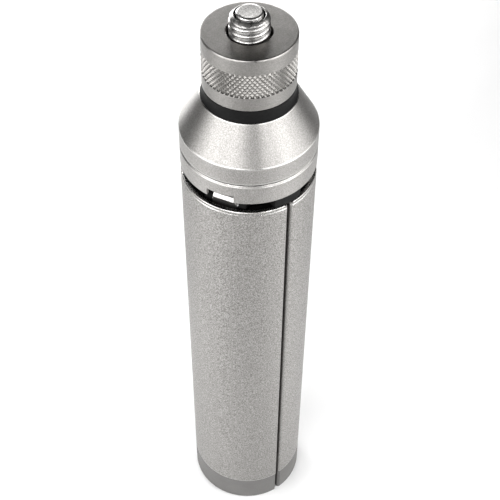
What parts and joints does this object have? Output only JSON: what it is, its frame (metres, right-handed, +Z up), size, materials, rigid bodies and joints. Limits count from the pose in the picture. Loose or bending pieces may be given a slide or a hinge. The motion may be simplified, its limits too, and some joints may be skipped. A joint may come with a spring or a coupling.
{
  "type": "folding pocket tripod",
  "caption": "Pocket tripod whose legs fold into a round hand grip, with a knurled thumbwheel head and a spring-loaded reducing screw on top.",
  "frame": {"origin": "centre of the foot circle, on the surface the feet stand on", "axes": "+Z up along the grip and the screw, leg 1 faces -Y, legs 2 and 3 follow every 120 degrees counterclockwise seen from above"},
  "size_m": [0.034, 0.034, 0.1805],
  "materials": {
    "screw_steel": "bright cut steel thread",
    "spring_steel": "drawn spring wire",
    "wheel_metal": "satin anodised, warm grey",
    "head_metal": "satin anodised, fine bead-blast grain",
    "shell_metal": "satin anodised, fine sparkling bead-blast grain",
    "black_plastic": "matt black",
    "black_metal": "black anodised",
    "knuckle_metal": "machined, satin",
    "small_steel": "machined steel",
    "foot_rubber": "matt grey"
  },
  "bodies": {
    "head": {"shoulder_cone": "head_metal", "friction_ring": "black_plastic", "hinge_ring": "head_metal", "hub": "black_metal", "hub_screws": "small_steel", "hinge_pin_1": "small_steel", "hinge_pin_2": "small_steel", "hinge_pin_3": "small_steel", "hinge_washers_1": "small_steel", "hinge_washers_2": "small_steel", "hinge_washers_3": "small_steel"},
    "wheel": {"thumbwheel": "wheel_metal", "wheel_base": "wheel_metal", "core_stud": "screw_steel", "sleeve_spring": "spring_steel", "spindle_washer": "small_steel", "spindle_nut": "small_steel"},
    "sleeve": {"thread_sleeve": "screw_steel"},
    "leg_1": {"leg_shell_1": "shell_metal", "leg_core_1": "black_plastic", "knuckle_1": "knuckle_metal", "knuckle_screws_1": "small_steel", "foot_1": "foot_rubber"},
    "leg_2": {"leg_shell_2": "shell_metal", "leg_core_2": "black_plastic", "knuckle_2": "knuckle_metal", "knuckle_screws_2": "small_steel", "foot_2": "foot_rubber"},
    "leg_3": {"leg_shell_3": "shell_metal", "leg_core_3": "black_plastic", "knuckle_3": "knuckle_metal", "knuckle_screws_3": "small_steel", "foot_3": "foot_rubber"}
  },
  "joints": [
    {"name": "thumbwheel_turn", "type": "hinge", "parent": "head", "child": "wheel", "pos_m": [0, 0, 0.168], "axis": [0, 0, 1], "continuous": true},
    {"name": "sleeve_retract", "type": "slide", "parent": "wheel", "child": "sleeve", "axis": [0, 0, -1], "range_m": [0, 0.00445], "stiffness_N_per_m": 900, "springref_m": -0.003, "deforming": ["sleeve_spring"]},
    {"name": "leg_1_swing", "type": "hinge", "parent": "head", "child": "leg_1", "pos_m": [0, -0.012, 0.1328], "axis": [-1, 0, 0], "range_deg": [0, 40]},
    {"name": "leg_2_swing", "type": "hinge", "parent": "head", "child": "leg_2", "pos_m": [0.01039, 0.006, 0.1328], "axis": [0.5, -0.866, 0], "range_deg": [0, 40]},
    {"name": "leg_3_swing", "type": "hinge", "parent": "head", "child": "leg_3", "pos_m": [-0.01039, 0.006, 0.1328], "axis": [0.5, 0.866, 0], "range_deg": [0, 40]}
  ]
}
